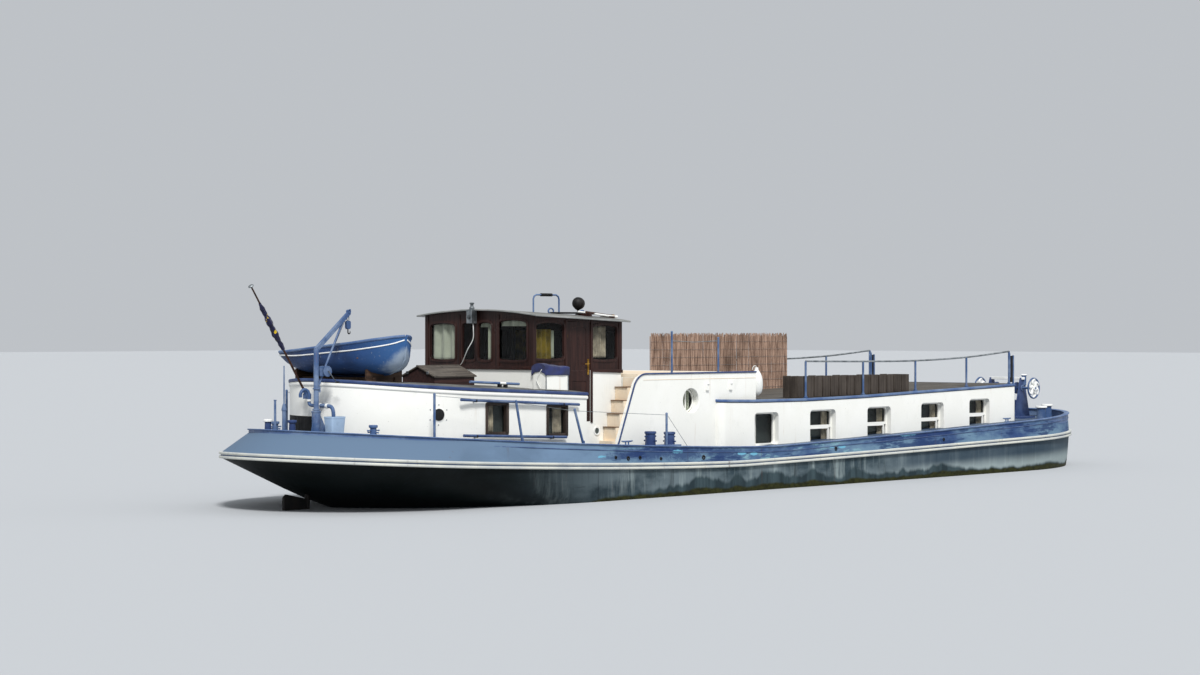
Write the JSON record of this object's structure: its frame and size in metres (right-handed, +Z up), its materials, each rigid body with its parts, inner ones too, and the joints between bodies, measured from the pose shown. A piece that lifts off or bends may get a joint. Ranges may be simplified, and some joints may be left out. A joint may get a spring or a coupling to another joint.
{
  "type": "sightseeing boat",
  "caption": "Converted river barge with wheelhouse, cabin trunks, dinghy on chocks, davit, anchor windlass, rudder and propeller.",
  "frame": {"origin": "centre of the bounding box at the flat bottom of the hull; the waterline is 0.95 m above it", "axes": "+X forward to the bow, +Y to port, +Z up"},
  "size_m": [24.51, 5.11, 4.9147],
  "materials": {
    "hull_paint": "faded dark navy paint with chalky patches and algae at the waterline",
    "blue_paint": "faded blue paint",
    "steel_blue_paint": "steel-blue paint, worn at the edges",
    "cream_paint": "cream paint with rust streaks",
    "white_paint": "warm white paint with beige rust streaks",
    "white_steel": "white paint on steel",
    "beige_paint": "matt beige deck paint",
    "roof_paint": "grey paint, weathered",
    "mahogany": "varnished dark mahogany",
    "brown_wood": "weathered brown boards",
    "grey_wood": "grey weathered planks",
    "brushwood": "woven brushwood",
    "window_glass": "dark window glass",
    "canvas": "dark blue cloth",
    "bronze": "dull bronze",
    "iron": "dark coated iron",
    "pale_blue_plastic": "matt pale blue",
    "fender_plastic": "white inflated plastic"
  },
  "bodies": {
    "boat": {"hull_stern": "hull_paint", "hull_aft": "hull_paint", "hull_hold": "hull_paint", "hull_bow": "hull_paint", "bulwark": "blue_paint", "rubbing_band": "cream_paint", "aft_trunk": "white_paint", "aft_trunk_roof": "blue_paint", "aft_window_starboard": "window_glass", "aft_window_port": "window_glass", "wheelhouse_base": "white_paint", "wheelhouse_walls": "mahogany", "wheelhouse_roof": "roof_paint", "wheelhouse_glass_aft": "window_glass", "wheelhouse_glass_fore": "window_glass", "helm_console": "mahogany", "mid_trunk": "white_paint", "stair_starboard": "beige_paint", "stair_port": "beige_paint", "mid_roof": "beige_paint", "fore_trunk": "white_paint", "fore_deck": "grey_wood", "fore_window_starboard": "window_glass", "fore_window_port": "window_glass", "engine_block": "iron", "davit_socket": "steel_blue_paint", "dinghy": "blue_paint", "dinghy_chocks": "brown_wood", "hatch_box": "brown_wood", "deck_locker": "white_paint", "flagstaff": "brown_wood", "furled_flag": "canvas", "stern_bollards": "steel_blue_paint", "quarter_bollard_starboard": "steel_blue_paint", "mid_bollards_starboard": "blue_paint", "bow_bollards_starboard": "steel_blue_paint", "quarter_bollard_port": "steel_blue_paint", "mid_bollards_port": "blue_paint", "bow_bollards_port": "steel_blue_paint", "windlass_frame": "blue_paint", "fore_rail_starboard": "blue_paint", "side_rail_starboard": "blue_paint", "raised_rail_starboard": "blue_paint", "fore_rail_port": "blue_paint", "side_rail_port": "blue_paint", "raised_rail_port": "blue_paint", "brushwood_screen": "brushwood", "boarded_box": "brown_wood", "searchlight": "iron", "quarter_box": "pale_blue_plastic", "fender": "fender_plastic"},
    "rudder": {"rudder": "iron"},
    "propeller": {"propeller": "bronze"},
    "steering_wheel": {"steering_wheel": "brown_wood"},
    "davit": {"davit_crane": "steel_blue_paint", "davit_tackle": "steel_blue_paint"},
    "door_starboard": {"wheelhouse_door_starboard": "mahogany"},
    "door_port": {"wheelhouse_door_port": "mahogany"},
    "hatch_lid": {"hatch_lid": "grey_wood"},
    "windlass_wheels": {"windlass_wheels": "white_steel"}
  },
  "joints": [
    {"name": "rudder_turn", "type": "hinge", "parent": "boat", "child": "rudder", "pos_m": [-10.9, 0, 0.8], "axis": [0, 0, 1], "range_deg": [-35, 35]},
    {"name": "propeller_spin", "type": "hinge", "parent": "boat", "child": "propeller", "pos_m": [-10.33, 0, 0.52], "axis": [1, 0, 0], "continuous": true},
    {"name": "wheel_turn", "type": "hinge", "parent": "boat", "child": "steering_wheel", "pos_m": [-4.735, 0, 3.22], "axis": [1, 0, 0], "range_deg": [-320, 320]},
    {"name": "davit_slew", "type": "hinge", "parent": "boat", "child": "davit", "pos_m": [-11.24, -0.64, 2.8], "axis": [0, 0, 1], "range_deg": [-120, 75]},
    {"name": "door_starboard_swing", "type": "hinge", "parent": "boat", "child": "door_starboard", "pos_m": [-5.77, -1.3947, 3.3], "axis": [0, 0, 1], "range_deg": [0, 90]},
    {"name": "door_port_swing", "type": "hinge", "parent": "boat", "child": "door_port", "pos_m": [-5.77, 1.3947, 3.3], "axis": [0, 0, -1], "range_deg": [0, 90]},
    {"name": "hatch_lid_lift", "type": "hinge", "parent": "boat", "child": "hatch_lid", "pos_m": [-8.585, -0.78, 3.262], "axis": [0, -1, 0], "range_deg": [0, 75]},
    {"name": "windlass_turn", "type": "hinge", "parent": "boat", "child": "windlass_wheels", "pos_m": [11.05, 0, 2.74], "axis": [0, 1, 0], "continuous": true}
  ],
  "couplings": [
    {"joint": "wheel_turn", "follows": "rudder_turn", "ratio": 9}
  ]
}
